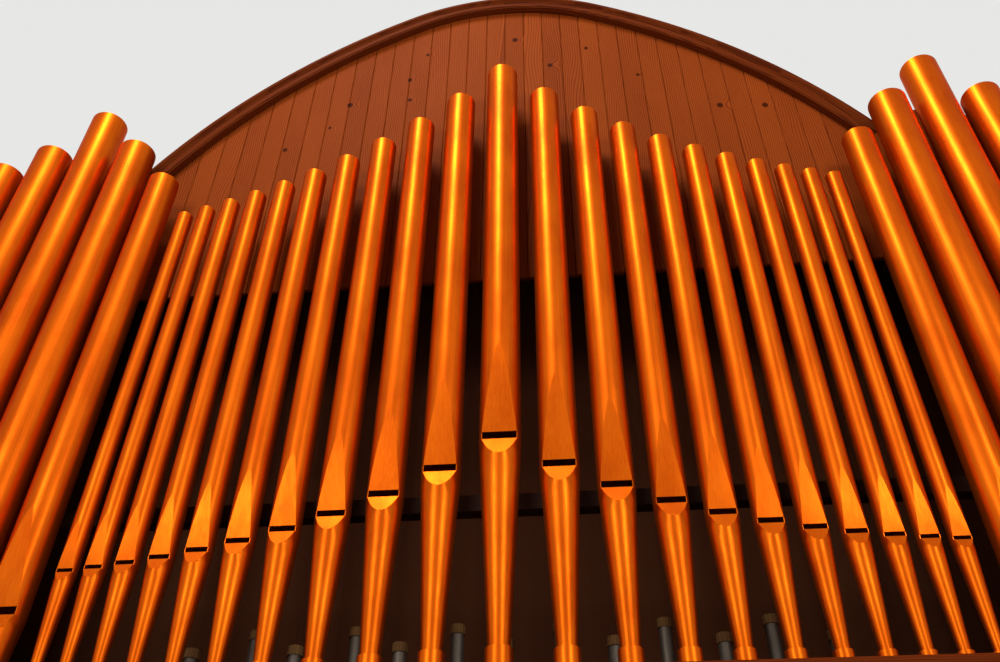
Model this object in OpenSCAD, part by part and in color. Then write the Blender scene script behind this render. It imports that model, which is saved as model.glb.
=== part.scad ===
// Pipe organ: a panelled wooden case, a flat of pipes under an arched cornice, and a row of
// larger pipes at each side. +Z is up, the front faces -Y, and the origin is at floor level in
// the middle of the footprint. The modules draw the pipe row at Y = 0, and placed() moves it.

/* [Lower case] */
// Height of the middle toe board's top above the floor
toe_h = 2730; // [2400:10:3000]
// Thickness of the middle toe board
toe_t = 70; // [40:5:100]
// Front edge of the middle toe board, forward of the pipe row
toe_front = 150; // [120:5:220]
// How far each toe board stands proud of the wall below it
toe_lip = 40; // [20:5:60]
// Thickness of the walls
wall_t = 30; // [20:1:50]
// Height of the skirting
skirt_h = 140; // [80:5:240]
// Thickness of the skirting boards
skirt_t = 22; // [12:1:30]
// Distance from the pipe row to the back of the case
case_back = 750; // [650:10:900]

/* [Panelling] */
// Width of the frame round each panel
frame_w = 90; // [60:5:130]
// Depth of the panels below their frame
panel_depth = 12; // [6:1:16]
// Panels across the middle front
mid_panels = 4; // [2:1:6]
// Panels along each side and across the back
back_panels = 6; // [3:1:8]
// Height of the rail between the lower and the upper panels
dado_h = 1050; // [700:10:1400]

/* [Side groups] */
// How far the side toe boards' tops lie below the middle one's
toe_step = 230; // [130:10:430]
// Thickness of the side toe boards
tower_toe_t = 60; // [40:5:90]
// Middle of the case to where the side groups begin
tower_in = 1600; // [1580:5:1640]
// Middle of the case to the outer walls
tower_out = 2740; // [2700:10:2900]
// Height of the side case
side_top_h = 5100; // [4700:10:5150]
// Height of the peak of the boards behind the side pipes
peak_h = 5700; // [5500:10:5900]
// Slope of those boards' top edges, in degrees
peak_slope = 20; // [5:1:35]

/* [Arch] */
// Half the width of the opening between the posts
open_half = 1820; // [1740:5:1860]
// Width of the posts
post_w = 120; // [80:5:160]
// Height of the arch's inner edge at the crown
crown_h = 6920; // [6720:5:7100]
// Inner radius of the crown
crown_r = 1010; // [900:10:1200]
// Inner radius of the haunches
haunch_r = 3450; // [3200:10:3700]
// Angle from the crown to where the haunches begin
crown_a = 29.6; // [26:0.1:32]
// Width of the arched cornice
band_w = 92; // [92:2:120]
// Width of the cornice's lower, flat band
fascia_w = 60; // [40:5:70]
// How far the cornice's upper moulding stands forward of the flat band
mould_d = 14; // [8:1:14]
// Distance from the pipe row back to the cornice's front
arch_front = 110; // [108:1:118]
// Thickness of the soffit and roof boards
board_t = 22; // [16:1:30]
// Distance from the pipe row to the boards behind it
panel_y = 150; // [140:1:170]
// Height of the lower edge of the boards behind the pipes
panel_h = 4640; // [4200:10:4800]

/* [Middle pipes] */
// Radius of the middle pipe
pipe_r = 80; // [60:1:85]
// Each pipe's radius as a share of its inner neighbour's
pipe_taper = 0.923; // [0.9:0.001:0.95]
// Gap beside the middle pipe
gap_w = 64; // [50:1:90]
// Each gap as a share of its inner neighbour
gap_taper = 0.91; // [0.88:0.01:0.95]
// Foot length that the outermost pipes come close to
foot_min = 400; // [350:5:450]
// Extra foot length of the middle pipe
foot_more = 490; // [300:5:560]
// Each pipe's extra foot length as a share of its inner neighbour's
foot_taper = 0.735; // [0.65:0.005:0.85]
// Body length that the outermost pipes come close to
body_min = 1760; // [1600:10:1850]
// Extra body length of the middle pipe
body_more = 642; // [400:2:680]
// Each pipe's extra body length as a share of its inner neighbour's
body_taper = 0.845; // [0.75:0.005:0.87]

/* [Side pipes] */
// Radius of the side pipes
tower_r = 92; // [80:1:93]
// Innermost side pipe's radius as a share of the others'
tower_inner = 0.8; // [0.75:0.01:1]
// Distance between the side pipes
tower_pitch = 224; // [190:2:230]
// Middle of the case to the innermost side pipe's place, were it as wide as the others
tower_x = 1690; // [1650:5:1720]
// Foot length of the side pipes
tower_foot = 490; // [450:5:560]
// Body length of the middle side pipe
tower_body = 2830; // [2400:10:3000]
// Body length lost from the middle side pipe to the next
tower_body_step = 262; // [100:2:350]
// Extra body length of the outermost side pipe
tower_last = 140; // [0:5:200]

/* [Pipe details] */
// Thickness of the pipe metal
metal_t = 2; // [1.5:0.1:3]
// Mouth width as a share of the diameter
mouth_share = 0.82; // [0.75:0.01:0.88]
// Mouth height as a share of the diameter
cut_share = 0.2; // [0.15:0.01:0.3]
// Height of the pointed upper lip in diameters
leaf_share = 2.55; // [2:0.05:3]
// Height of the lower lip in diameters
lip_share = 0.5; // [0.4:0.05:0.8]
// How far the pointed lip's edges bulge, as a share of its height
leaf_bulge = 0.35; // [0.1:0.05:0.6]
// Toe radius as a share of the pipe's radius
toe_share = 0.4; // [0.35:0.01:0.5]
// Toe collar height as a share of the pipe's radius
collar_share = 1.3; // [0.8:0.05:1.6]
// Toe collar wall thickness at its top
collar_t = 9; // [5:1:14]
// Width of the slit between the languid and the lower lip
windway = 2.5; // [1:0.5:4]
// Thickness of the languid
languid_t = 6; // [3:1:10]

/* [Rails and inner work] */
// Height of the rail behind the middle pipes
rail_h = 3400; // [3300:10:3600]
// Height of the rails behind the side pipes
tower_rail_h = 3500; // [3200:10:4000]
// Size of the rails, bottom to top
rail_w = 70; // [40:5:100]
// Clearance between the front pipes and their rails
rail_gap = 4; // [2:1:8]
// Top of the inner wind chest
chest_h = 2700; // [2670:5:2760]
// Depth of the inner wind chest, bottom to top
chest_d = 200; // [120:10:260]
// Inner pipes in a row
inner_n = 7; // [3:2:9]
// Distance between the inner pipes
inner_pitch = 380; // [200:10:400]
// Radius of the inner pipes
inner_r = 24; // [18:1:30]
// Distance from the middle pipe row to the first inner row
inner_y = 300; // [260:5:360]
// Distance between the two inner rows
inner_row = 110; // [80:5:140]
// Height of the first inner row's tops above the chest
inner_len = 290; // [240:5:340]
// Extra height of the second inner row
inner_more = 110; // [60:5:160]
// Height of the inner pipes' caps
cap_h = 34; // [24:1:44]
// Thickness of those caps
cap_t = 4; // [2:0.5:6]

/* [Hidden] */
$fn = 96;
// Overlap that keeps cuts clean
e = 1;
// Small lap where a pipe's cuts meet
lap = 0.5;
// Flat strips that make the curve of a pressed upper lip
lip_steps = 12;
// Clearance between curved pieces that seat in each other
fit = 0.3;
// Height of the side toe boards' tops above the floor
tower_toe_h = toe_h - toe_step;
// Middle height of the crown's circle
crown_z = crown_h - crown_r;
// Middle of the right haunch's circle
haunch_x = -(haunch_r - crown_r) * sin(crown_a);
haunch_z = crown_z - (haunch_r - crown_r) * cos(crown_a);
// Angle at which the haunches end on the posts
spring_a = asin((open_half - haunch_x) / haunch_r);
// Pipes on each side of the middle one, and pipes in each side group
pairs = 10;
tower_n = 5;
// Middle pipe sizes, counted outwards from the middle pipe, 0
function radius(i) = pipe_r * pow(pipe_taper, i);
function gap(i) = gap_w * pow(gap_taper, i - 1);
function place(i) = i == 0 ? 0 : place(i - 1) + radius(i - 1) + gap(i) + radius(i);
function foot(i) = foot_min + foot_more * pow(foot_taper, i);
function body(i) = body_min + body_more * pow(body_taper, i);
// Side pipe sizes, counted outwards from the innermost, 0
function tower_radius(i) = i == 0 ? tower_inner * tower_r : tower_r;
function tower_place(i) = tower_x + i * tower_pitch + tower_r - tower_radius(i);
function tower_body_len(i) = tower_body - abs(i - (tower_n - 1) / 2) * tower_body_step
    + (i == tower_n - 1 ? tower_last : 0);
// Radius of a foot at a height above its toe
function foot_r(r, len, z) = r * (toe_share + (1 - toe_share) * z / len);

wood = [0.45, 0.2, 0.09];
dark_wood = [0.3, 0.12, 0.06];
copper = [0.85, 0.42, 0.14];
tin = [0.55, 0.56, 0.55];

// A slab between two corners
module slab(lo, hi) {
    translate(lo) cube([hi[0] - lo[0], hi[1] - lo[1], hi[2] - lo[2]]);
}

// A framed wall in the XZ plane with its face at y = 0, and panels sunk into that face
module panelled_wall(w, h, t, across, split) {
    pitch = (w - frame_w) / across;
    rows = [[skirt_h + frame_w, split], [split + frame_w, h - frame_w]];
    difference() {
        cube([w, t, h]);
        for (i = [0 : across - 1]) {
            for (row = rows) {
                translate([frame_w + i * pitch, -e, row[0]])
                    cube([pitch - frame_w, panel_depth + e, row[1] - row[0]]);
            }
        }
    }
}

module mirrored() {
    children();
    mirror([1, 0, 0]) children();
}

// Moves what is drawn about the pipe row so that the middle of the footprint is at the origin
module placed() {
    translate([0, (toe_front - case_back) / 2, 0]) children();
}

// The skirting round the case's foot
module skirting() {
    front = toe_lip - toe_front;
    color(dark_wood) difference() {
        slab([-tower_out - skirt_t, front - skirt_t, 0], [tower_out + skirt_t, case_back, skirt_h]);
        slab([-tower_out, front, -e], [tower_out, case_back + e, skirt_h + e]);
    }
}

// The middle wall below the toe board
module front_wall() {
    color(wood) translate([-tower_in, toe_lip - toe_front, 0])
        panelled_wall(2 * tower_in, toe_h - toe_t, wall_t, mid_panels, dado_h);
}

// The wall below a side toe board
module tower_front_wall() {
    color(wood) translate([tower_in, toe_lip - toe_front, 0])
        panelled_wall(tower_out - tower_in, tower_toe_h - tower_toe_t, wall_t, 2, dado_h);
}

// The board that closes the end of the middle toe board above a side toe board
module tower_cheek() {
    color(wood) slab([tower_in - wall_t, toe_lip + wall_t - toe_front, tower_toe_h - tower_toe_t],
        [tower_in, panel_y, toe_h - toe_t]);
}

// The outer wall, low below the side toe board and high behind it
module side_wall() {
    low = tower_toe_h - tower_toe_t;
    front = toe_lip + wall_t - toe_front;
    half = (front + case_back - wall_t) / 2;
    color(wood) difference() {
        union() {
            slab([tower_out - wall_t, front, 0], [tower_out, case_back - wall_t, low]);
            slab([tower_out - wall_t, panel_y, 0], [tower_out, case_back - wall_t, side_top_h]);
        }
        for (span = [[front + frame_w, half - frame_w / 2],
                [half + frame_w / 2, case_back - wall_t - frame_w]]) {
            for (row = [[skirt_h + frame_w, dado_h], [dado_h + frame_w, low - frame_w]]) {
                slab([tower_out - panel_depth, span[0], row[0]], [tower_out + e, span[1], row[1]]);
            }
        }
        slab([tower_out - panel_depth, panel_y + frame_w, tower_toe_h],
            [tower_out + e, case_back - wall_t - frame_w, side_top_h - frame_w]);
    }
}

module back_wall() {
    color(wood) translate([tower_out, case_back, 0]) rotate([0, 0, 180])
        panelled_wall(2 * tower_out, side_top_h, wall_t, back_panels, tower_toe_h - frame_w);
}

// The middle toe board, with a rounded front edge
module toe_board() {
    nose = toe_t / 2;
    color(dark_wood) union() {
        slab([-tower_in, -toe_front + nose, toe_h - toe_t], [tower_in, panel_y, toe_h]);
        translate([-tower_in, -toe_front + nose, toe_h - nose]) rotate([0, 90, 0])
            cylinder(r = nose, h = 2 * tower_in);
    }
}

// A side toe board, with a rounded front edge
module tower_toe_board() {
    nose = tower_toe_t / 2;
    low = tower_toe_h - tower_toe_t;
    color(dark_wood) union() {
        slab([tower_in, -toe_front + nose, low], [tower_out, panel_y, tower_toe_h]);
        slab([tower_in, panel_y - e, low], [tower_out - wall_t, panel_y + wall_t, tower_toe_h]);
        translate([tower_in, -toe_front + nose, tower_toe_h - nose]) rotate([0, 90, 0])
            cylinder(r = nose, h = tower_out - tower_in);
    }
}

// The boards that close the case behind the side pipes. They rise to a peak behind the middle pipe.
module tower_boards() {
    middle = tower_place((tower_n - 1) / 2);
    edge = open_half + post_w;
    in_z = peak_h - (middle - edge) * tan(peak_slope);
    out_z = peak_h - (tower_out - wall_t - middle) * tan(peak_slope);
    color(wood) translate([0, panel_y + wall_t, 0]) rotate([90, 0, 0]) linear_extrude(height = wall_t)
        polygon([[edge, tower_toe_h], [tower_out - wall_t, tower_toe_h], [tower_out - wall_t, out_z],
            [middle, peak_h], [edge, in_z]]);
}

// The flat roof over each side of the case
module side_roof() {
    color(dark_wood) slab([open_half + post_w, panel_y + wall_t, side_top_h],
        [tower_out + toe_lip, case_back, side_top_h + wall_t]);
}

// A post beside the opening, on the side toe board, cut at the top to the angle where the arch
// springs
module post() {
    inner_z = haunch_z + haunch_r * cos(spring_a);
    outer_z = inner_z + post_w * tan(90 - spring_a);
    color(wood) translate([0, panel_y, 0]) rotate([90, 0, 0]) linear_extrude(height = panel_y - arch_front)
        polygon([[open_half, tower_toe_h], [open_half + post_w, tower_toe_h],
            [open_half + post_w, outer_z], [open_half, inner_z]]);
}

// The cornice's section: the soffit, the flat band and the moulding above it. The first
// number is the distance out from the arch's inner edge and the second is Y.
function cornice_section(r) = [
    [r, panel_y],
    [r, arch_front],
    [r + fascia_w, arch_front],
    [r + fascia_w + mould_d, arch_front - mould_d],
    [r + band_w, arch_front - mould_d],
    [r + band_w, panel_y]
];

// A stretch of the cornice about the crown's or a haunch's middle, from angle a to angle b
module cornice(r, x, z, a, b) {
    color(dark_wood) translate([x, 0, z]) rotate([90, 0, 0]) rotate([0, 0, 90 - b])
        rotate_extrude(angle = b - a, $fn = 360)
            polygon([for (p = cornice_section(r)) [p[0], -p[1]]]);
}

module crown_cornice() {
    cornice(crown_r, 0, crown_z, -crown_a, crown_a);
}

module haunch_cornice() {
    cornice(haunch_r, haunch_x, haunch_z, crown_a, spring_a);
}

// The space under the arch, grown outwards by o, as a block from y0 to y1
module arch_block(o, y0, y1, low, side = open_half + post_w) {
    big = haunch_r + crown_h;
    translate([0, y1, 0]) rotate([90, 0, 0]) intersection() {
        translate([haunch_x, haunch_z, 0]) cylinder(r = haunch_r + o, h = y1 - y0, $fn = 360);
        translate([-haunch_x, haunch_z, 0]) cylinder(r = haunch_r + o, h = y1 - y0, $fn = 360);
        translate([-side, low, 0]) cube([2 * side, big, y1 - y0]);
        union() {
            translate([0, crown_z, 0]) cylinder(r = crown_r + o, h = y1 - y0, $fn = 360);
            linear_extrude(height = y1 - y0)
                polygon([[-big, 0], [big, 0], [big, crown_z + big * cos(crown_a)],
                    [big * sin(crown_a), crown_z + big * cos(crown_a)], [0, crown_z],
                    [-big * sin(crown_a), crown_z + big * cos(crown_a)],
                    [-big, crown_z + big * cos(crown_a)]]);
        }
    }
}

// The boards that close the arch behind the pipes
module arch_boards() {
    color(wood) arch_block(band_w - 2 * board_t - fit, panel_y, panel_y + board_t, panel_h);
}

// The case's wall above a side roof
module upper_wall() {
    out = open_half + post_w - haunch_x;
    inner_z = haunch_z + sqrt(pow(haunch_r + band_w - 2 * board_t, 2) - out * out);
    color(wood) slab([open_half + post_w - wall_t, panel_y + board_t, side_top_h],
        [open_half + post_w, case_back - wall_t, inner_z - fit]);
}

// The wall that closes the back above the side roofs
module upper_back_wall() {
    color(wood) arch_block(band_w - 2 * board_t - fit, case_back - wall_t, case_back, side_top_h);
}

// The bent boards of the roof, from the cornice to the back
module arched_roof() {
    color(dark_wood) difference() {
        arch_block(band_w - board_t, panel_y, case_back, side_top_h);
        arch_block(band_w - 2 * board_t, panel_y - e, case_back + e, side_top_h - e,
            open_half + post_w + e);
    }
}

module pipe_rail() {
    color(dark_wood) slab([-open_half, tower_r + rail_gap, rail_h], [open_half, panel_y, rail_h + rail_w]);
}

module tower_rails() {
    color(dark_wood) mirrored()
        slab([open_half + post_w, tower_r + rail_gap, tower_rail_h],
            [tower_out - wall_t, panel_y, tower_rail_h + rail_w]);
}

// One flue pipe standing on its toe at the origin, with its mouth facing -Y
module pipe(r, foot_len, body_len) {
    difference() {
        pipe_form(r, foot_len, body_len, 0);
        pipe_form(r, foot_len, body_len, metal_t);
        mouth_cut(r, foot_len);
    }
    languid(r, foot_len);
}

// Distance from the pipe's axis to its flat lips
function flat_y(r) = r * sqrt(1 - mouth_share * mouth_share);

// The pipe's outer form for w = 0, and its inside for w = the metal's thickness
module pipe_form(r, foot_len, body_len, w) {
    over = w > 0 ? e : 0;
    difference() {
        rotate_extrude() polygon([[0, -over], [foot_r(r, foot_len, -over) - w, -over], [r - w, foot_len],
            [r - w, foot_len + body_len + over], [0, foot_len + body_len + over]]);
        upper_lip_cut(r, foot_len + cut_share * 2 * r, w);
        lower_lip_cut(r, foot_len, w);
    }
}

// What the pressed upper lip takes off the front. The lip curves back from its point, so its
// edges draw a bay leaf on the pipe.
module upper_lip_cut(r, z, w) {
    leaf = leaf_share * 2 * r;
    rise = leaf * leaf_bulge;
    bend = (pow(leaf + rise, 2) - pow(rise, 2)) / (2 * (r - flat_y(r)));
    step = (leaf + 11 * lap) / lip_steps;
    translate([-2 * r, 0, z + leaf]) rotate([90, 0, 90]) linear_extrude(height = 4 * r)
        polygon(concat([[-2 * r, 10 * lap], [-2 * r, -leaf - lap]],
            [for (u = [leaf + lap : -step : -10 * lap - step / 2])
                [w - r + (pow(u + rise, 2) - rise * rise) / (2 * bend), -u]]));
}

// What the pressed lower lip takes off the front, down a plane that meets the foot's front
module lower_lip_cut(r, foot_len, w) {
    lip = lip_share * 2 * r;
    slope = (foot_r(r, foot_len, foot_len - lip) - flat_y(r)) / lip;
    low = lip + 10 * lap;
    translate([-2 * r, 0, foot_len]) rotate([90, 0, 90]) linear_extrude(height = 4 * r)
        polygon([[-2 * r, -low], [w - flat_y(r) - low * slope, -low],
            [w - flat_y(r) + lap * slope, lap], [-2 * r, lap]]);
}

// The mouth's opening
module mouth_cut(r, foot_len) {
    translate([-2 * r, -2 * r, foot_len])
        cube([4 * r, 2 * r - flat_y(r) + metal_t + lap, cut_share * 2 * r]);
}

// The plate inside the pipe at the mouth's lower edge, with a slit left at its front
module languid(r, foot_len) {
    front = metal_t + windway - flat_y(r);
    difference() {
        translate([0, 0, foot_len - languid_t - lap]) cylinder(r = r - metal_t / 2, h = languid_t);
        translate([-2 * r, -2 * r, foot_len - languid_t - e]) cube([4 * r, 2 * r + front, languid_t + 2 * e]);
    }
}

module middle_pipe(i) {
    sides = i == 0 ? [0] : [-1, 1];
    color(copper) for (side = sides)
        translate([side * place(i), 0, toe_h]) pipe(radius(i), foot(i), body(i));
}

module tower_pipe(i) {
    color(copper) for (side = [-1, 1])
        translate([side * tower_place(i), 0, tower_toe_h])
            pipe(tower_radius(i), tower_foot, tower_body_len(i));
}

// The seat that holds a pipe's toe
module toe_collar(r, foot_len) {
    h = collar_share * r;
    top_r = foot_r(r, foot_len, h);
    difference() {
        cylinder(r = top_r + collar_t, h = h);
        translate([0, 0, -e])
            cylinder(r1 = foot_r(r, foot_len, -e) + fit, r2 = foot_r(r, foot_len, h + e) + fit, h = h + 2 * e);
    }
}

module toe_collars() {
    color(copper) {
        for (i = [0 : pairs], side = i == 0 ? [0] : [-1, 1])
            translate([side * place(i), 0, toe_h]) toe_collar(radius(i), foot(i));
        for (i = [0 : tower_n - 1], side = [-1, 1])
            translate([side * tower_place(i), 0, tower_toe_h]) toe_collar(tower_radius(i), tower_foot);
    }
}

module inner_chest() {
    color(dark_wood) slab([-open_half, panel_y, chest_h - chest_d],
        [open_half, inner_y + inner_row + 2 * inner_r + toe_lip, chest_h]);
}

// Places of the inner pipes as x, y and top height, the second row between those of the first
function inner_places() = [
    for (row = [0, 1], i = [0 : inner_n - 1 - row])
        [(i - (inner_n - 1 - row) / 2) * inner_pitch, inner_y + row * inner_row, inner_len + row * inner_more]
];

// The grey pipes inside the case, each a tapered foot and a straight body
module inner_pipes() {
    color(tin) for (p = inner_places()) translate([p[0], p[1], chest_h]) {
        cylinder(r1 = inner_r * toe_share, r2 = inner_r, h = inner_len / 3);
        translate([0, 0, inner_len / 3]) cylinder(r = inner_r, h = p[2] - inner_len / 3 - cap_t);
    }
}

module inner_caps() {
    color(wood) for (p = inner_places()) translate([p[0], p[1], chest_h + p[2]]) difference() {
        translate([0, 0, -cap_h]) cylinder(r = inner_r + cap_t, h = cap_h);
        translate([0, 0, -cap_h - e]) cylinder(r = inner_r + fit, h = cap_h - cap_t + e);
    }
}

placed() skirting();
placed() front_wall();
placed() mirror([1, 0, 0]) tower_front_wall();  // left_tower_front
placed() tower_front_wall();  // right_tower_front
placed() mirrored() tower_cheek();  // tower_cheeks
placed() mirror([1, 0, 0]) side_wall();  // left_side_wall
placed() side_wall();  // right_side_wall
placed() back_wall();
placed() toe_board();
placed() mirror([1, 0, 0]) tower_toe_board();  // left_tower_toe_board
placed() tower_toe_board();  // right_tower_toe_board
placed() mirror([1, 0, 0]) tower_boards();  // left_tower_boards
placed() tower_boards();  // right_tower_boards
placed() mirrored() side_roof();  // side_roofs
placed() mirror([1, 0, 0]) post();  // left_post
placed() post();  // right_post
placed() crown_cornice();
placed() mirror([1, 0, 0]) haunch_cornice();  // left_cornice
placed() haunch_cornice();  // right_cornice
placed() arch_boards();
placed() mirrored() upper_wall();  // upper_side_walls
placed() upper_back_wall();
placed() arched_roof();
placed() pipe_rail();
placed() tower_rails();
placed() middle_pipe(0);  // centre_pipe
placed() middle_pipe(1);  // pipe_pair_1
placed() middle_pipe(2);  // pipe_pair_2
placed() middle_pipe(3);  // pipe_pair_3
placed() middle_pipe(4);  // pipe_pair_4
placed() middle_pipe(5);  // pipe_pair_5
placed() middle_pipe(6);  // pipe_pair_6
placed() middle_pipe(7);  // pipe_pair_7
placed() middle_pipe(8);  // pipe_pair_8
placed() middle_pipe(9);  // pipe_pair_9
placed() middle_pipe(10);  // pipe_pair_10
placed() tower_pipe(0);  // tower_pipes_1
placed() tower_pipe(1);  // tower_pipes_2
placed() tower_pipe(2);  // tower_pipes_3
placed() tower_pipe(3);  // tower_pipes_4
placed() tower_pipe(4);  // tower_pipes_5
placed() toe_collars();
placed() inner_chest();
placed() inner_pipes();
placed() inner_caps();
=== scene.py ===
import math

import bpy
from mathutils import Matrix, Vector


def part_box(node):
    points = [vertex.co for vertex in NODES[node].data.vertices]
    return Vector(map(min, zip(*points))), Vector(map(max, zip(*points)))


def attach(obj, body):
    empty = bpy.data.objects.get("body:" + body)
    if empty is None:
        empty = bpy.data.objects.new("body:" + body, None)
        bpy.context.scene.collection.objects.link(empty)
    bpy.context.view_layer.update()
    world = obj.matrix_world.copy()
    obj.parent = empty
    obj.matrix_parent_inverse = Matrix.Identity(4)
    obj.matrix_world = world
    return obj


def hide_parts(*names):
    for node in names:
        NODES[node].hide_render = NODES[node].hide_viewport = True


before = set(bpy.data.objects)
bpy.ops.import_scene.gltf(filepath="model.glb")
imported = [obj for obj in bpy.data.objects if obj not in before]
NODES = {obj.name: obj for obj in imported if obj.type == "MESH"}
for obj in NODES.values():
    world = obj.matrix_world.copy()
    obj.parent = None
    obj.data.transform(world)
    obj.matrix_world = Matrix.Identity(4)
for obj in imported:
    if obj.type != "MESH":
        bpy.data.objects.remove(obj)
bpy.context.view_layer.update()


def corner(node, end, axis):
    """One coordinate of a node's box, in metres: end is 0 for lowest or 1 for highest."""
    return round(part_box(node)[end]["xyz".index(axis)], 4)


# Camera, as fitted to the photograph: distance to the middle pipe row, sideways place, eye height
VIEW_DISTANCE = 2.94
VIEW_SIDE = 0.262
EYE_HEIGHT = 1.6
FOCAL_PIXELS = 948.0
IMAGE_WIDTH = 1000.0
SENSOR_MM = 36.0
PITCH_UP = math.radians(41.27)
YAW_LEFT = math.radians(5.17)
ROLL = math.radians(0.41)

# Place of the pipe row on Y: the middle pipe's front and half its width
ROW_Y = round(corner("centre_pipe", 0, "y") + corner("centre_pipe", 1, "x"), 4)

# Arch, repeated from the part: radii and middles of the crown and the right haunch, in metres
CROWN_R = 1.01
CROWN_Z = 6.92 - CROWN_R
HAUNCH_R = 3.45
CROWN_ANGLE = math.radians(29.6)
HAUNCH_X = -(HAUNCH_R - CROWN_R) * math.sin(CROWN_ANGLE)
HAUNCH_Z = CROWN_Z - (HAUNCH_R - CROWN_R) * math.cos(CROWN_ANGLE)

# Places read from the part's nodes, in metres
OPEN_HALF = corner("right_post", 0, "x")
POST_WIDTH = round(corner("right_post", 1, "x") - OPEN_HALF, 4)
TOWER_IN = corner("right_tower_front", 0, "x")
TOWER_OUT = corner("right_side_wall", 1, "x")
CASE_FRONT = corner("front_wall", 0, "y")
CASE_BACK = corner("back_wall", 1, "y")
WALL = round(CASE_BACK - corner("back_wall", 0, "y"), 4)
SKIRT_HEIGHT = corner("skirting", 1, "z")
SKIRT_WIDTH = round(corner("skirting", 1, "x") - TOWER_OUT, 4)
TOE_LOW = corner("toe_board", 0, "z")
TOWER_TOE_LOW = corner("right_tower_toe_board", 0, "z")
TOWER_TOE_HIGH = corner("right_tower_toe_board", 1, "z")
SIDE_TOP = corner("right_side_wall", 1, "z")
BOARDS_FRONT = corner("arch_boards", 0, "y")
BOARDS_BACK = corner("arch_boards", 1, "y")
BOARDS_LOW = corner("arch_boards", 0, "z")
ARCH_FRONT = corner("right_post", 0, "y")

# Sizes repeated from the part, in metres: the panels' frames, their depth, the middle rail's
# lower edge, the cornice's flat face, and how far the arch's boards reach behind the cornice
FRAME_WIDTH = 0.09
PANEL_DEPTH = 0.012
DADO = 1.05
FASCIA = 0.06
BOARDS_GROWN = 0.0475

PANEL_LOW = SKIRT_HEIGHT + FRAME_WIDTH
BOARD_WIDTH = 0.11

# How far the mouldings under the toe boards and under the side roofs stand out, in metres
BED_OUT = 0.026
ROOF_BED_OUT = 0.03

# Light, as linear colours: what camera, glossy and transmission rays see of the world, and the
# world's own light on the object
BACKGROUND = (0.80, 0.80, 0.79)
WORLD_LIGHT = (1.0, 0.99, 0.97)
WORLD_STRENGTH = 0.34
LAMP_COLOR = (1.0, 0.97, 0.93)
FLOOR_HALF = 20.0

# Grain and metal: growth rings in a metre of board, how fine the wood's fibres and the metal's
# drawn streaks are, and the bare wood inside the case, darkened as painted shade
RINGS_PER_METRE = 95.0
FIBRES = 420.0
STREAKS = 260.0
BARE_WOOD_IN_PAINTED_SHADE = (0.100, 0.038, 0.018)

# Lamps: name, place, what it points at, size in metres and watts. The key stands high, so the
# pipes' tops mirror it and the flat upper lips don't. The two low ones light the feet.
LAMPS = [
    ("key", (-1.6, -4.6, 11.8), (0.0, ROW_Y, 5.6), (1.8, 3.0), 520.0),
    ("fill", (3.2, -5.2, 5.6), (0.0, ROW_Y, 4.0), (1.2, 2.0), 100.0),
    ("low", (-2.8, -5.0, 5.4), (0.0, ROW_Y, 4.0), (1.2, 2.0), 85.0),
    ("back", (0.0, 6.0, 7.0), (0.0, 0.5, 3.0), (6.0, 2.0), 300.0),
]


# Shader helpers

class Shader:
    """A material's node tree. Calls return output sockets, and inputs take numbers or sockets."""

    def __init__(self, name):
        self.material = bpy.data.materials.new(name)
        self.material.use_nodes = True
        self.tree = self.material.node_tree
        self.bsdf = self.tree.nodes["Principled BSDF"]

    def node(self, kind, inputs=None, **settings):
        made = self.tree.nodes.new("ShaderNode" + kind)
        for key, value in settings.items():
            setattr(made, key, value)
        for key, value in (inputs or {}).items():
            self.put(made.inputs[key], value)
        return made

    def put(self, socket, value):
        if isinstance(value, bpy.types.NodeSocket):
            self.tree.links.new(value, socket)
        else:
            socket.default_value = value

    def math(self, operation, a, b=0.0, c=0.0):
        return self.node("Math", {0: a, 1: b, 2: c}, operation=operation).outputs[0]

    def ramp(self, value, low, high):
        """0 below low, 1 above high, smooth between."""
        made = self.node("MapRange", {"Value": value, "From Min": low, "From Max": high},
                         interpolation_type="SMOOTHSTEP")
        return made.outputs["Result"]

    def mix(self, factor, a, b):
        made = self.node("Mix", data_type="RGBA")
        self.put(made.inputs[0], factor)
        self.put(made.inputs[6], a if isinstance(a, bpy.types.NodeSocket) else (*a, 1.0))
        self.put(made.inputs[7], b if isinstance(b, bpy.types.NodeSocket) else (*b, 1.0))
        return made.outputs[2]

    def place(self):
        """X, Y and Z of the surface point in metres, in the object's own frame."""
        point = self.node("TexCoord").outputs["Object"]
        parts = self.node("SeparateXYZ", {0: point})
        return [parts.outputs[i] for i in range(3)]

    def vector(self, x, y, z):
        return self.node("CombineXYZ", {0: x, 1: y, 2: z}).outputs[0]

    def noise(self, where, scale, detail=3.0, rough=0.5):
        made = self.node("TexNoise", {"Vector": where, "Scale": scale, "Detail": detail, "Roughness": rough})
        return made.outputs["Fac"]

    def chance(self, value):
        """A steady random number for each whole value."""
        return self.node("TexWhiteNoise", {"W": value}, noise_dimensions="1D").outputs["Value"]

    def bump(self, height, distance, strength=1.0):
        made = self.node("Bump", {"Height": height, "Distance": distance, "Strength": strength})
        self.put(self.bsdf.inputs["Normal"], made.outputs[0])

    def surface(self, **values):
        names = {"color": "Base Color", "metallic": "Metallic", "roughness": "Roughness",
                 "specular": "Specular IOR Level", "tint": "Specular Tint"}
        for key, value in values.items():
            if isinstance(value, tuple) and len(value) == 3:
                value = (*value, 1.0)
            self.put(self.bsdf.inputs[names[key]], value)


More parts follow.
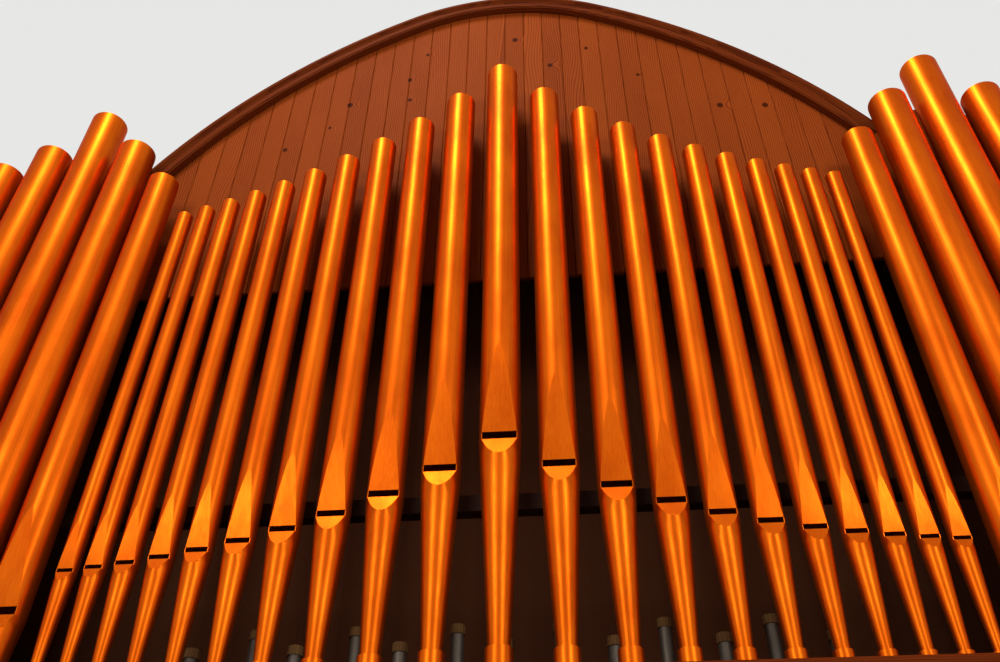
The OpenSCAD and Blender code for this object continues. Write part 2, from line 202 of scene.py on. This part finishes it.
def wood(name, pale, dark, along, board=0.0, knots=(), gloss=0.5, sheen=0.012, inner=None):
    """Pine with growth rings, fibres and, where board is set, another tone for each board.
    along is the axis of the grain: "x", "z", "side" for upright boards on a side, or "arch".
    inner is ("x" or "y", place): where |x| or y is below place the surface is bare wood, darkened as painted shade
    for the inside of the case."""
    s = Shader(name)
    x, y, z = s.place()
    if along == "arch":
        across, deep, length = arch_place(s, x, y, z)
    elif along == "x":
        across, deep, length = z, y, x
    elif along == "side":
        across, deep, length = y, x, z
    else:
        across, deep, length = x, y, z
    if board:
        index = s.math("FLOOR", s.math("DIVIDE", across, board))
    else:
        index = s.math("FLOOR", s.math("MULTIPLY", length, 0.3))
    luck = s.chance(index)
    luck_b = s.chance(s.math("ADD", index, 57.3))
    # Slow waver of the grain, different on each board
    shift = s.math("MULTIPLY", luck, 31.0)
    slow = s.noise(s.vector(s.math("MULTIPLY", across, 3.0), shift, s.math("MULTIPLY", length, 0.9)), 1.0, 2.0)
    lean = s.math("MULTIPLY", s.math("SUBTRACT", luck_b, 0.5), 0.02)
    heart = s.math("ADD", s.math("MULTIPLY", length, lean), s.math("MULTIPLY", slow, 0.16))
    off = s.math("ADD", s.math("SUBTRACT", across, heart), s.math("MULTIPLY", luck, 0.35))
    # Knots push the grain aside and darken it
    spot = None
    for knot_x, knot_z, size in knots:
        far = s.math("SQRT", s.math("ADD", s.math("POWER", s.math("SUBTRACT", x, knot_x), 2.0),
                                    s.math("POWER", s.math("MULTIPLY", s.math("SUBTRACT", z, knot_z), 0.75), 2.0)))
        near = s.math("SUBTRACT", 1.0, s.ramp(far, size * 0.55, size))
        spot = near if spot is None else s.math("MAXIMUM", spot, near)
        push = s.math("SUBTRACT", 1.0, s.ramp(far, 0.0, size * 4.0))
        off = s.math("ADD", off, s.math("MULTIPLY", push, size * 1.6))
    depth = s.math("ADD", s.math("MULTIPLY", luck_b, 0.05), 0.02)
    ring = s.math("SQRT", s.math("ADD", s.math("POWER", off, 2.0), s.math("POWER", depth, 2.0)))
    phase = s.math("FRACT", s.math("MULTIPLY", ring, RINGS_PER_METRE))
    late = s.math("MULTIPLY", s.ramp(phase, 0.25, 0.85), s.math("SUBTRACT", 1.0, s.ramp(phase, 0.88, 1.0)))
    fibre = s.noise(s.vector(s.math("MULTIPLY", across, FIBRES), s.math("MULTIPLY", deep, FIBRES),
                             s.math("MULTIPLY", length, 9.0)), 1.0, 3.0)
    patch = s.noise(s.vector(s.math("MULTIPLY", across, 5.0), shift, s.math("MULTIPLY", length, 1.4)), 1.0, 3.0)
    tone = s.math("ADD", s.math("MULTIPLY", late, 0.42), s.math("MULTIPLY", fibre, 0.34))
    tone = s.math("ADD", tone, s.math("MULTIPLY", patch, 0.34))
    tone = s.math("ADD", tone, s.math("MULTIPLY", s.math("SUBTRACT", luck, 0.5), 0.2))
    color = s.mix(s.ramp(tone, 0.1, 1.05), pale, dark)
    if spot is not None:
        color = s.mix(s.math("MULTIPLY", spot, 0.9), color, tuple(0.22 * c for c in dark))
    # Inside the case the wood is bare, and its colour is darkened there as painted shade
    if inner:
        across_case = s.math("ABSOLUTE", x) if inner[0] == "x" else y
        shade = s.math("SUBTRACT", 1.0, s.ramp(across_case, inner[1] - 0.003, inner[1] + 0.003))
        color = s.mix(s.math("MULTIPLY", shade, 0.93), color, BARE_WOOD_IN_PAINTED_SHADE)
    s.surface(color=color, roughness=s.math("ADD", gloss, s.math("MULTIPLY", fibre, 0.16)), specular=sheen)
    relief = s.math("ADD", s.math("MULTIPLY", fibre, 0.6), s.math("MULTIPLY", late, 0.4))
    s.bump(relief, 0.0006, 0.6)
    return s.material


def arch_place(s, x, y, z):
    """The grain's three places on the cornice and the roof: across it, Y, and along the arch."""
    side = s.math("ABSOLUTE", x)
    crown = [side, s.math("SUBTRACT", z, CROWN_Z)]
    haunch = [s.math("SUBTRACT", side, HAUNCH_X), s.math("SUBTRACT", z, HAUNCH_Z)]
    angle = s.math("ARCTAN2", crown[0], crown[1])
    is_haunch = s.math("GREATER_THAN", angle, CROWN_ANGLE)

    def radius(pair):
        return s.math("SQRT", s.math("ADD", s.math("POWER", pair[0], 2.0), s.math("POWER", pair[1], 2.0)))

    def pick(a, b):
        return s.math("ADD", s.math("MULTIPLY", a, s.math("SUBTRACT", 1.0, is_haunch)),
                      s.math("MULTIPLY", b, is_haunch))

    out = pick(s.math("SUBTRACT", radius(crown), CROWN_R), s.math("SUBTRACT", radius(haunch), HAUNCH_R))
    turn = s.math("SUBTRACT", s.math("ARCTAN2", haunch[0], haunch[1]), CROWN_ANGLE)
    arc = pick(s.math("MULTIPLY", angle, CROWN_R),
               s.math("ADD", s.math("MULTIPLY", turn, HAUNCH_R), CROWN_ANGLE * CROWN_R))
    length = s.math("MULTIPLY", arc, s.math("SIGN", x))
    return s.math("ADD", out, y), y, length


def pipe_metal(name, bright, deep, rough, metallic):
    """Polished pipe metal with faint drawn streaks, patches of tarnish and slight unevenness."""
    s = Shader(name)
    x, y, z = s.place()
    where = s.vector(x, y, s.math("MULTIPLY", z, 0.35))
    patches = s.noise(where, 9.0, 4.0, 0.6)
    streaks = s.noise(s.vector(s.math("MULTIPLY", x, STREAKS), s.math("MULTIPLY", y, STREAKS),
                               s.math("MULTIPLY", z, 2.2)), 1.0, 3.0)
    waves = s.noise(s.vector(x, y, s.math("MULTIPLY", z, 0.5)), 7.0, 2.0)
    tone = s.math("ADD", s.math("MULTIPLY", patches, 0.7), s.math("MULTIPLY", streaks, 0.4))
    color = s.mix(s.ramp(tone, 0.3, 0.85), bright, deep)
    gloss = s.math("ADD", rough, s.math("MULTIPLY", patches, 0.10))
    s.surface(color=color, metallic=metallic, specular=0.2, tint=tuple(min(1.0, c * 0.7 + 0.3) for c in bright),
              roughness=s.math("ADD", gloss, s.math("MULTIPLY", streaks, 0.06)))
    s.bump(s.math("ADD", waves, s.math("MULTIPLY", streaks, 0.02)), 0.0012, 0.5)
    return s.material


def dress(nodes, material):
    """Put one material on each of these nodes."""
    for name in nodes:
        mesh = NODES[name].data
        mesh.materials.clear()
        mesh.materials.append(material)


def make_materials():
    # Knots in the arch's boards: X, Z and radius
    knots = [(0.060, 6.620, 0.021), (0.259, 6.332, 0.018), (1.151, 5.844, 0.020), (1.383, 5.818, 0.020),
             (-0.875, 6.077, 0.020), (-0.548, 6.282, 0.017), (-0.458, 6.528, 0.013), (-0.535, 6.086, 0.015),
             (-1.190, 5.705, 0.016), (-0.965, 5.875, 0.012), (0.746, 6.176, 0.013), (0.473, 6.480, 0.015)]
    pale = (0.29, 0.053, 0.007)
    dark = (0.13, 0.019, 0.003)
    deep_pale = (0.150, 0.026, 0.004)
    deep_dark = (0.070, 0.010, 0.002)
    return {
        "boards": wood("stained_boards", pale, dark, "z", BOARD_WIDTH, knots),
        "upright": wood("stained_pine", pale, dark, "z", BOARD_WIDTH),
        "side": wood("stained_pine_side", pale, dark, "side", BOARD_WIDTH),
        # The back and side walls are stained pine outside, and bare wood darkened as painted shade inside
        "back": wood("stained_pine_back_shaded_inside", pale, dark, "z", BOARD_WIDTH, inner=("y", CASE_BACK - WALL / 2)),
        "outer_side": wood("stained_pine_outer_shaded_inside", pale, dark, "side", BOARD_WIDTH, inner=("x", TOWER_OUT - WALL / 2)),
        "upper_side": wood("stained_pine_upper_shaded_inside", pale, dark, "side", BOARD_WIDTH,
                           inner=("x", OPEN_HALF + POST_WIDTH - WALL / 2)),
        "across": wood("stained_rail", deep_pale, deep_dark, "x"),
        # Nearly black wood for the rails and the chest inside the case: painted shade
        "dark": wood("inner_wood_painted_shade", (0.035, 0.011, 0.004), (0.016, 0.005, 0.003), "x", gloss=0.6,
                     sheen=0.05),
        "arch": wood("stained_cornice", deep_pale, deep_dark, "arch"),
        "copper": pipe_metal("copper_pipe_metal", (0.66, 0.115, 0.003), (0.42, 0.052, 0.001), 0.27, 0.85),
        "tin": pipe_metal("grey_pipe_metal", (0.22, 0.19, 0.15), (0.12, 0.105, 0.085), 0.5, 0.7),
        "caps": wood("brown_caps", (0.26, 0.14, 0.05), (0.14, 0.075, 0.03), "z", 0.05, gloss=0.6),
    }


# Pieces

def add_mesh(name, verts, faces, material):
    """A piece of the scene's own, which rides with the part and stays in its material slot."""
    mesh = bpy.data.meshes.new(name)
    mesh.from_pydata([tuple(v) for v in verts], [], faces)
    mesh.validate()
    mesh.update()
    piece = bpy.data.objects.new(name, mesh)
    bpy.context.scene.collection.objects.link(piece)
    mesh.materials.append(material)
    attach(piece, "root")
    return piece


def round_edges(piece, width, segments=2):
    """Ease a piece's sharp edges by width."""
    made = piece.modifiers.new("weld", "WELD")
    made.merge_threshold = 0.00001
    made = piece.modifiers.new("round", "BEVEL")
    made.width = width
    made.segments = segments
    made.limit_method = "ANGLE"
    made.angle_limit = math.radians(40.0)
    made.harden_normals = False


def loops(rings, cap=True):
    """Points and faces between rings of the same number of points. cap closes both ends."""
    count = len(rings[0])
    verts = [point for ring in rings for point in ring]
    faces = []
    for i in range(len(rings) - 1):
        a, b = i * count, (i + 1) * count
        for j in range(count):
            k = (j + 1) % count
            faces.append((a + j, a + k, b + k, b + j))
    if cap:
        faces.append(tuple(range(count))[::-1])
        faces.append(tuple(range(len(verts) - count, len(verts))))
    return verts, faces


def sweep_plan(name, path, profile, material):
    """A moulding along a path on plan, mitred at its corners. The profile's points are the distance
    out to the path's right-hand side, and the height."""
    rings = []
    for i, here in enumerate(path):
        sides = []
        for a, b in ((i - 1, i), (i, i + 1)):
            if a >= 0 and b < len(path):
                along = (Vector(path[b]) - Vector(path[a])).normalized()
                sides.append(Vector((along.y, -along.x)))
        side = sides[0]
        if len(sides) == 2:
            side = (sides[0] + sides[1]) / (1.0 + sides[0].dot(sides[1]))
        rings.append([Vector((here[0] + side.x * out, here[1] + side.y * out, z)) for out, z in profile])
    verts, faces = loops(rings)
    return add_mesh(name, verts, faces, material)


def arch_top(x, grown):
    """Height of the arch's inner line, grown outwards, above x."""
    side = abs(x)
    if side <= (CROWN_R + grown) * math.sin(CROWN_ANGLE):
        return CROWN_Z + math.sqrt((CROWN_R + grown) ** 2 - side ** 2)
    return HAUNCH_Z + math.sqrt((HAUNCH_R + grown) ** 2 - (side - HAUNCH_X) ** 2)


def arch_points(grown, end, steps=120):
    """Points and outward directions along the arch from the left springing to the right."""
    made = []
    for i in range(steps + 1):
        angle = end * (2.0 * i / steps - 1.0)
        size, sign = abs(angle), 1.0 if angle >= 0 else -1.0
        out = Vector((sign * math.sin(size), 0.0, math.cos(size)))
        if size <= CROWN_ANGLE:
            middle, radius = Vector((0.0, 0.0, CROWN_Z)), CROWN_R + grown
        else:
            middle, radius = Vector((sign * HAUNCH_X, 0.0, HAUNCH_Z)), HAUNCH_R + grown
        made.append((middle + out * radius, out))
    return made


def arch_bead(name, grown, y, size, material):
    """A half-round bead of radius size along the cornice's face."""
    end = math.asin((OPEN_HALF - HAUNCH_X) / HAUNCH_R)
    rings = []
    for point, out in arch_points(grown, end):
        ring = []
        for j in range(9):
            turn = math.pi * j / 8.0
            ring.append(point + out * (size * math.cos(turn)) + Vector((0.0, y - size * math.sin(turn), 0.0)))
        rings.append(ring)
    verts, faces = loops(rings)
    piece = add_mesh(name, verts, faces, material)
    for face in piece.data.polygons:
        face.use_smooth = True
    return piece


def make_planks(material):
    """Separate tongued boards behind the pipes, each cut to the arch at its top."""
    verts, faces = [], []
    end = OPEN_HALF + POST_WIDTH
    count = math.ceil(end / BOARD_WIDTH)
    for i in range(-count, count):
        x0, x1 = max(-end, i * BOARD_WIDTH), min(end, (i + 1) * BOARD_WIDTH)
        x0, x1 = x0 + 0.0006, x1 - 0.0006
        front = BOARDS_FRONT + 0.0004 * (i % 3)
        outline = [(x0, BOARDS_LOW), (x1, BOARDS_LOW)]
        for j in range(5):
            x = x1 + (x0 - x1) * j / 4.0
            outline.append((x, arch_top(x, BOARDS_GROWN)))
        near = [(x, front, z) for x, z in outline]
        far = [(x, BOARDS_BACK, z) for x, z in outline]
        start, n = len(verts), len(outline)
        verts += near + far
        faces.append(tuple(start + j for j in range(n)))
        faces.append(tuple(start + n + j for j in range(n))[::-1])
        for j in range(n):
            k = (j + 1) % n
            faces.append((start + j, start + n + j, start + n + k, start + k))
    piece = add_mesh("arch_planks", verts, faces, material)
    round_edges(piece, 0.004, 1)
    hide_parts("arch_boards")


def make_panels(name, origin, along, face, width, across, rows, material):
    """Mouldings and raised fields in a wall's sunk panels. along and face are unit vectors on plan."""
    edge = [(0.0, -PANEL_DEPTH), (0.0, 0.002), (0.004, 0.005), (0.010, 0.0045), (0.015, 0.001), (0.018, -0.004),
            (0.025, -0.007), (0.025, -PANEL_DEPTH)]
    field = [(0.045, -PANEL_DEPTH), (0.046, -0.009), (0.082, -0.004), (0.086, -0.001), (0.087, -0.001)]
    if isinstance(across, int):
        pitch = (width - FRAME_WIDTH) / across
        spans = [(FRAME_WIDTH + i * pitch, (i + 1) * pitch) for i in range(across)]
    else:
        spans = across
    verts, faces = [], []
    for left, right in spans:
        for low, high in rows:
            for profile, filled in ((edge, False), (field, True)):
                rings = []
                for inset, level in profile:
                    corners = ((left + inset, low + inset), (right - inset, low + inset),
                               (right - inset, high - inset), (left + inset, high - inset))
                    rings.append([Vector((origin[0] + along[0] * u + face[0] * level,
                                          origin[1] + along[1] * u + face[1] * level, z)) for u, z in corners])
                ring_verts, ring_faces = loops(rings, cap=False)
                start = len(verts)
                verts += ring_verts
                faces += [tuple(start + k for k in f) for f in ring_faces]
                if filled:
                    last = len(verts) - 4
                    faces.append((last, last + 1, last + 2, last + 3))
    return add_mesh(name, verts, faces, material)


def make_case_details(looks):
    low_rows = [(PANEL_LOW, DADO), (DADO + FRAME_WIDTH, TOWER_TOE_LOW - FRAME_WIDTH)]
    mid_rows = [(PANEL_LOW, DADO), (DADO + FRAME_WIDTH, TOE_LOW - FRAME_WIDTH)]
    high_row = (TOWER_TOE_HIGH, SIDE_TOP - FRAME_WIDTH)
    make_panels("front_panels", (-TOWER_IN, CASE_FRONT), (1, 0), (0, -1), 2 * TOWER_IN, 4, mid_rows,
                looks["upright"])
    make_panels("back_panels", (TOWER_OUT, CASE_BACK), (-1, 0), (0, 1), 2 * TOWER_OUT, 6,
                [(PANEL_LOW, TOWER_TOE_HIGH - FRAME_WIDTH), high_row], looks["upright"])
    near, far = CASE_FRONT + WALL + FRAME_WIDTH, CASE_BACK - WALL - FRAME_WIDTH
    middle = (near + far) / 2
    for side, word in ((-1, "left"), (1, "right")):
        make_panels(word + "_tower_panels", (side * TOWER_IN, CASE_FRONT), (side, 0), (0, -1),
                    TOWER_OUT - TOWER_IN, 2, low_rows, looks["upright"])
        make_panels(word + "_side_panels", (side * TOWER_OUT, 0), (0, 1), (side, 0), 0,
                    [(near, middle - FRAME_WIDTH / 2), (middle + FRAME_WIDTH / 2, far)], low_rows, looks["side"])
        make_panels(word + "_high_panels", (side * TOWER_OUT, 0), (0, 1), (side, 0), 0,
                    [(BOARDS_FRONT + FRAME_WIDTH, far)], [high_row], looks["side"])
    skirt_cap = [(0.0, SKIRT_HEIGHT), (SKIRT_WIDTH, SKIRT_HEIGHT), (SKIRT_WIDTH - 0.002, SKIRT_HEIGHT + 0.006),
                 (0.012, SKIRT_HEIGHT + 0.014), (0.006, SKIRT_HEIGHT + 0.022), (0.0, SKIRT_HEIGHT + 0.024)]
    plan = [(-TOWER_OUT, CASE_BACK), (-TOWER_OUT, CASE_FRONT), (TOWER_OUT, CASE_FRONT), (TOWER_OUT, CASE_BACK)]
    sweep_plan("skirting_cap", plan, skirt_cap, looks["across"])

    def bed(z, out):
        """The profile of a moulding under a board whose lower face is at z."""
        return [(0.0, z), (out, z), (out, z - 0.006), (out * 0.75, z - 0.009), (out * 0.6, z - 0.02),
                (out * 0.35, z - 0.032), (out * 0.3, z - 0.04), (0.004, z - 0.046), (0.0, z - 0.046)]

    sweep_plan("toe_moulding", [(-TOWER_IN, CASE_FRONT), (TOWER_IN, CASE_FRONT)],
               bed(TOE_LOW, BED_OUT), looks["across"])
    for side, word in ((-1, "left"), (1, "right")):
        ends = sorted([side * TOWER_IN, side * TOWER_OUT])
        sweep_plan(word + "_tower_moulding", [(ends[0], CASE_FRONT), (ends[1], CASE_FRONT)],
                   bed(TOWER_TOE_LOW, BED_OUT), looks["across"])
        run = [(side * TOWER_OUT, BOARDS_FRONT + WALL), (side * TOWER_OUT, CASE_BACK)]
        sweep_plan(word + "_roof_moulding", run if side > 0 else run[::-1], bed(SIDE_TOP, ROOF_BED_OUT),
                   looks["across"])
    arch_bead("arch_bead_low", 0.012, ARCH_FRONT, 0.005, looks["arch"])
    arch_bead("arch_bead_high", FASCIA - 0.006, ARCH_FRONT, 0.004, looks["arch"])


# Scene

def make_camera():
    forward = Vector((-math.sin(YAW_LEFT) * math.cos(PITCH_UP), math.cos(YAW_LEFT) * math.cos(PITCH_UP),
                      math.sin(PITCH_UP)))
    level = Vector((math.cos(YAW_LEFT), math.sin(YAW_LEFT), 0.0))
    up = level.cross(forward)
    right = level * math.cos(ROLL) + up * math.sin(ROLL)
    above = up * math.cos(ROLL) - level * math.sin(ROLL)
    data = bpy.data.cameras.new("camera")
    data.sensor_width = SENSOR_MM
    data.lens = FOCAL_PIXELS / IMAGE_WIDTH * SENSOR_MM
    data.clip_end = 200.0
    camera = bpy.data.objects.new("camera", data)
    turn = Matrix((right, above, -forward)).transposed().to_4x4()
    camera.matrix_world = Matrix.Translation((VIEW_SIDE, ROW_Y - VIEW_DISTANCE, EYE_HEIGHT)) @ turn
    bpy.context.scene.collection.objects.link(camera)
    bpy.context.scene.camera = camera


def make_world():
    world = bpy.data.worlds.new("studio")
    bpy.context.scene.world = world
    world.use_nodes = True
    tree = world.node_tree
    tree.nodes.clear()
    path = tree.nodes.new("ShaderNodeLightPath")
    through = tree.nodes.new("ShaderNodeMath")
    through.operation = "MAXIMUM"
    tree.links.new(path.outputs["Is Glossy Ray"], through.inputs[0])
    tree.links.new(path.outputs["Is Transmission Ray"], through.inputs[1])
    seen = tree.nodes.new("ShaderNodeMath")
    seen.operation = "MAXIMUM"
    tree.links.new(path.outputs["Is Camera Ray"], seen.inputs[0])
    tree.links.new(through.outputs[0], seen.inputs[1])
    light = tree.nodes.new("ShaderNodeBackground")
    light.inputs[0].default_value = (*WORLD_LIGHT, 1.0)
    light.inputs[1].default_value = WORLD_STRENGTH
    shown = tree.nodes.new("ShaderNodeBackground")
    shown.inputs[0].default_value = (*BACKGROUND, 1.0)
    both = tree.nodes.new("ShaderNodeMixShader")
    tree.links.new(seen.outputs[0], both.inputs[0])
    tree.links.new(light.outputs[0], both.inputs[1])
    tree.links.new(shown.outputs[0], both.inputs[2])
    out = tree.nodes.new("ShaderNodeOutputWorld")
    tree.links.new(both.outputs[0], out.inputs[0])


def make_lamp(name, place, aim, size, power):
    data = bpy.data.lights.new(name, "AREA")
    data.shape = "RECTANGLE"
    data.size, data.size_y = size
    data.energy = power
    data.color = LAMP_COLOR
    lamp = bpy.data.objects.new(name, data)
    lamp.location = place
    lamp.rotation_euler = (Vector(aim) - Vector(place)).to_track_quat("-Z", "Y").to_euler()
    bpy.context.scene.collection.objects.link(lamp)


def make_floor():
    mesh = bpy.data.meshes.new("floor")
    half = FLOOR_HALF
    mesh.from_pydata([(-half, -half, 0), (half, -half, 0), (half, half, 0), (-half, half, 0)], [], [(0, 1, 2, 3)])
    floor = bpy.data.objects.new("floor", mesh)
    bpy.context.scene.collection.objects.link(floor)
    s = Shader("pale_floor")
    x, y, z = s.place()
    speck = s.noise(s.vector(x, y, z), 3.0, 4.0)
    s.surface(color=s.mix(speck, (0.74, 0.74, 0.73), (0.80, 0.80, 0.79)), roughness=0.7)
    mesh.materials.append(s.material)


make_camera()
make_world()
for lamp in LAMPS:
    make_lamp(*lamp)
make_floor()

bpy.context.scene.view_settings.view_transform = "Standard"
LOOKS = make_materials()
dress(["front_wall", "left_tower_front", "right_tower_front", "left_tower_boards", "right_tower_boards",
       "left_post", "right_post"], LOOKS["upright"])
dress(["back_wall", "upper_back_wall"], LOOKS["back"])
dress(["tower_cheeks"], LOOKS["side"])
dress(["left_side_wall", "right_side_wall"], LOOKS["outer_side"])
dress(["upper_side_walls"], LOOKS["upper_side"])
dress(["arch_boards"], LOOKS["boards"])
dress(["skirting", "toe_board", "left_tower_toe_board", "right_tower_toe_board", "side_roofs"], LOOKS["across"])
# The rails and the chest inside the case get the nearly black wood, which is painted shade
dress(["pipe_rail", "tower_rails", "inner_chest"], LOOKS["dark"])
dress(["crown_cornice", "left_cornice", "right_cornice", "arched_roof"], LOOKS["arch"])
dress(["centre_pipe", "toe_collars"] + [f"pipe_pair_{i}" for i in range(1, 11)]
      + [f"tower_pipes_{i}" for i in range(1, 6)], LOOKS["copper"])
dress(["inner_pipes"], LOOKS["tin"])
dress(["inner_caps"], LOOKS["caps"])
for name in ("front_wall", "left_tower_front", "right_tower_front", "tower_cheeks", "left_side_wall",
             "right_side_wall", "back_wall", "skirting", "side_roofs", "left_post", "right_post",
             "left_tower_boards", "right_tower_boards", "pipe_rail", "tower_rails", "inner_chest"):
    round_edges(NODES[name], 0.0025)
make_planks(LOOKS["boards"])
make_case_details(LOOKS)
